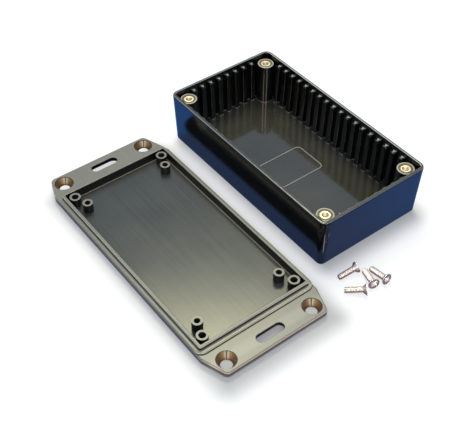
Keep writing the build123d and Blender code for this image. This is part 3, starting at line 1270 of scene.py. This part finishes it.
@dataclass
class Screws:
    """The four loose flat-head lid screws with cross recesses."""

    thread_radius: float = 1.42 * MM
    core_radius: float = 1.13 * MM
    pitch: float = 0.635 * MM
    length: float = 9.53 * MM
    head_radius: float = 2.6 * MM
    head_edge: float = 0.06 * MM
    head_land: float = 0.25 * MM
    head_angle: float = 82.0
    tip: float = 0.3 * MM
    neck: float = 0.35 * MM
    recess_reach: float = 3.0 * MM
    recess_slot: float = 0.75 * MM
    recess_depth: float = 1.2 * MM
    recess_rise: float = 0.3 * MM
    recess_draw: float = 0.45
    sides: int = 48
    finish: ScrewSteel = ScrewSteel()
    layout: tuple[Lying, ...] = (
        Lying(10.03 * MM, 12.03 * MM, 84.0),
        Lying(21.85 * MM, 6.96 * MM, 49.2),
        Lying(21.48 * MM, 11.3 * MM, -18.0),
        Lying(23.0 * MM, 17.55 * MM, 2.5),
    )

    def build(self) -> None:
        """Model one screw, then lay four copies where the frame has them."""
        material = self.finish.make()
        model = self.model()
        for number, lying in enumerate(self.layout, start=1):
            piece = copy_to(model, f"flat_head_screw_{number}", self.seat(lying))
            dress(piece, material)
            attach(piece, BODY)
            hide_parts(f"lid_screw_{number}")
        bpy.data.objects.remove(model)

    def seat(self, lying: Lying) -> Matrix:
        """Place of a lying screw: the head's land and the thread's tip touch the ground.

        Args:
            lying: The screw's middle and heading.

        Returns:
            The matrix from the model, whose head face is on the origin and whose thread runs up Z.
        """
        drop = (self.head_radius - self.thread_radius) / (self.length - self.tip - self.head_land)
        tilt = math.atan(drop)
        lift = self.head_radius * math.cos(tilt) + self.head_land * math.sin(tilt)
        away = math.radians(lying.heading + 180)
        along = Vector((math.cos(tilt) * math.cos(away), math.cos(tilt) * math.sin(away), -math.sin(tilt)))
        side = Vector((-math.sin(away), math.cos(away), 0))
        across = along.cross(side)
        turn = Matrix((side, across, along)).transposed().to_4x4()
        centre = Vector((BOX_LENGTH / 2 + lying.right, -BOX_WIDTH / 2 + lying.inward, lift))
        return Matrix.Translation(centre) @ turn

    def model(self) -> Piece:
        """Turn the head and core, wind the thread and sink the cross recess.

        Returns:
            The screw with its head face on the origin and its thread up Z.
        """
        cone = (self.head_radius - self.thread_radius) / math.tan(math.radians(self.head_angle / 2))
        cone_end = self.head_land + cone
        profile = [
            (self.head_radius - self.head_edge, 0.0),
            (self.head_radius, self.head_edge),
            (self.head_radius, self.head_land),
            (self.thread_radius, cone_end),
            (self.core_radius, cone_end + self.neck),
            (self.core_radius, self.length - self.tip / 2),
            (self.core_radius - self.tip / 2, self.length),
        ]
        screw = turned("screw_model", profile, self.sides)
        ends = (cone_end + self.neck / 2, self.length - self.tip)
        thread = helix("screw_thread", self.core_radius, self.thread_radius, self.pitch, *ends)
        combine(screw, thread, Joining.UNITE)
        combine(screw, self.recess(), Joining.CUT)
        bpy.ops.object.shade_smooth_by_angle(angle=SMOOTH)
        return screw

    def recess(self) -> Piece:
        """Model the cross that the driver fits: a cube with four arms, drawn in towards its point.

        Returns:
            The cross, for cutting.
        """
        nearly_along = 0.9
        clear_selection()
        bpy.ops.mesh.primitive_cube_add(size=1, location=(0, 0, 0))
        cross = bpy.context.object
        cross.name = "cross_recess"
        cross.scale = (self.recess_slot, self.recess_slot, self.recess_depth + self.recess_rise)
        cross.location = (0, 0, (self.recess_depth - self.recess_rise) / 2)
        bpy.ops.object.transform_apply(location=True, scale=True)
        start_edit(Pick.FACES)
        arm = (self.recess_reach - self.recess_slot) / 2
        for x, y in ((1, 0), (-1, 0), (0, 1), (0, -1)):
            side = Vector((x, y, 0))
            select_faces(cross, lambda face: face.normal.dot(side) > nearly_along)
            bpy.ops.mesh.extrude_region_move(TRANSFORM_OT_translate={"value": tuple(side * arm)})
        select_faces(cross, lambda face: face.normal.z > nearly_along)
        draw = (self.recess_draw, self.recess_draw, 1)
        bpy.ops.transform.resize(value=draw, center_override=(0, 0, self.recess_depth))
        end_edit()
        return cross


# Stage
class Serves(Enum):
    """What a lamp lights: all surfaces, only their colour, or only their gloss."""

    ALL = "all"
    COLOUR = "colour"
    GLOSS = "gloss"


@dataclass(frozen=True)
class Softbox:
    """A lamp with a lit rectangle that faces the middle of the object."""

    name: str
    serves: Serves
    direction: Span
    width: float
    height: float
    radiance: float
    colour: Colour = WHITE
    distance: float = 0.9

    def make(self, centre: Vector) -> None:
        """Hang the lamp in its direction.

        Args:
            centre: The middle that it faces.
        """
        lamp = bpy.data.lights.new(f"softbox_{self.name}", "AREA")
        lamp.shape = "RECTANGLE"
        lamp.size = self.width
        lamp.size_y = self.height
        lamp.energy = self.radiance * math.pi * self.width * self.height
        lamp.color = self.colour
        obj = bpy.data.objects.new(lamp.name, lamp)
        bpy.context.scene.collection.objects.link(obj)
        direction = Vector(self.direction).normalized()
        obj.location = centre + direction * self.distance
        obj.rotation_euler = direction.to_track_quat("Z", "Y").to_euler()
        obj.visible_camera = False
        obj.visible_diffuse = self.serves is not Serves.GLOSS
        obj.visible_glossy = self.serves is not Serves.COLOUR


@dataclass
class Studio:
    """The camera, the pale ground, the surroundings and the lamps."""

    camera_place: Span = (0.23769, -0.21765, 0.29462)
    camera_forward: Span = (-0.5618, 0.4289, -0.7074)
    camera_up: Span = (-0.5629, 0.4285, 0.7068)
    focal_pixels: float = 902.92
    picture_width: int = 461
    sensor: float = 36.0
    clip_start: float = 10.0 * MM
    ground_side: float = 6.0
    ground_drop: float = 0.02 * MM
    ground_finish: GroundPaper = GroundPaper()
    horizon_colour: Colour = (0.85, 0.85, 0.85)
    horizon: Span = (0.10, 0.40)
    sky_colour: Colour = (0.37, 0.46, 0.62)
    window_colour: Colour = (0.62, 0.70, 0.78)
    window: Span = (-0.47, 0.45, 0.76)
    window_edge: Span = (0.990, 0.9986)
    centre: Span = (0.01, -0.035, 0.01)
    lamps: tuple[Softbox, ...] = (
        Softbox("key", Serves.ALL, (-0.365, 0.252, 0.896), 0.28, 0.28, 18.0, (1.0, 0.97, 0.64)),
        Softbox("fill", Serves.COLOUR, (0.56, -0.43, 0.71), 0.80, 0.80, 1.3, (1.0, 0.98, 0.93)),
        Softbox("left", Serves.GLOSS, (-0.56, -0.40, 0.72), 0.18, 0.30, 1.2),
        Softbox("right", Serves.GLOSS, (0.52, 0.43, 0.74), 0.18, 0.30, 2.0),
        Softbox("front_left", Serves.GLOSS, (0.40, -0.69, 0.60), 0.06, 0.35, 42.0, AMBER),
        Softbox("front_right", Serves.GLOSS, (0.775, -0.193, 0.60), 0.06, 0.35, 42.0, AMBER),
    )

    def build(self) -> None:
        """Set up everything that isn't the object."""
        self.set_camera()
        self.set_world()
        self.lay_ground()
        for lamp in self.lamps:
            lamp.make(Vector(self.centre))
        bpy.context.scene.view_settings.view_transform = "Standard"

    def set_camera(self) -> None:
        """Put the camera where the photograph's stood."""
        lens = bpy.data.cameras.new("camera")
        lens.sensor_width = self.sensor
        lens.lens = self.focal_pixels / self.picture_width * self.sensor
        lens.clip_start = self.clip_start
        camera = bpy.data.objects.new("camera", lens)
        bpy.context.scene.collection.objects.link(camera)
        forward = Vector(self.camera_forward).normalized()
        right = forward.cross(Vector(self.camera_up)).normalized()
        up = right.cross(forward)
        turn = Matrix((right, up, -forward)).transposed().to_4x4()
        camera.matrix_world = Matrix.Translation(self.camera_place) @ turn
        bpy.context.scene.camera = camera

    def set_world(self) -> None:
        """Surroundings that are white to the camera, and for the rest bluish grey above a white horizon."""
        world = bpy.data.worlds.new("surroundings")
        bpy.context.scene.world = world
        bench = NodeBench("surroundings", world)
        camera = bench.node("ShaderNodeLightPath", out="Is Camera Ray")
        direction = bench.node("ShaderNodeTexCoord", out="Generated")
        height = bench.node("ShaderNodeSeparateXYZ", None, {0: direction}, 2)
        window = {0: direction, 1: Vector(self.window).normalized()}
        nearness = bench.node("ShaderNodeVectorMath", {"operation": "DOT_PRODUCT"}, window, "Value")
        above = bench.blend(nearness.rise(*self.window_edge), self.sky_colour, self.window_colour)
        seen = bench.layered(self.horizon_colour, ((height.rise(*self.horizon), above), (camera, WHITE)))
        bench.end_in(bench.node("ShaderNodeBackground", None, {"Color": seen}))

    def lay_ground(self) -> None:
        """Lay the ground under the object."""
        clear_selection()
        bpy.ops.mesh.primitive_plane_add(size=self.ground_side, location=(0, 0, -self.ground_drop))
        ground = bpy.context.object
        ground.name = "ground"
        bpy.ops.object.transform_apply(location=True)
        ground.data.materials.append(self.ground_finish.make())


def main() -> None:
    """Build the stage and the pieces in order."""
    logging.basicConfig(level=logging.INFO, format="%(name)s %(message)s")
    for part in (Studio(), Shell(), Lid(), Inserts(), Screws()):
        log.info("building %s", type(part).__name__)
        part.build()


if __name__ == "__main__":
    main()
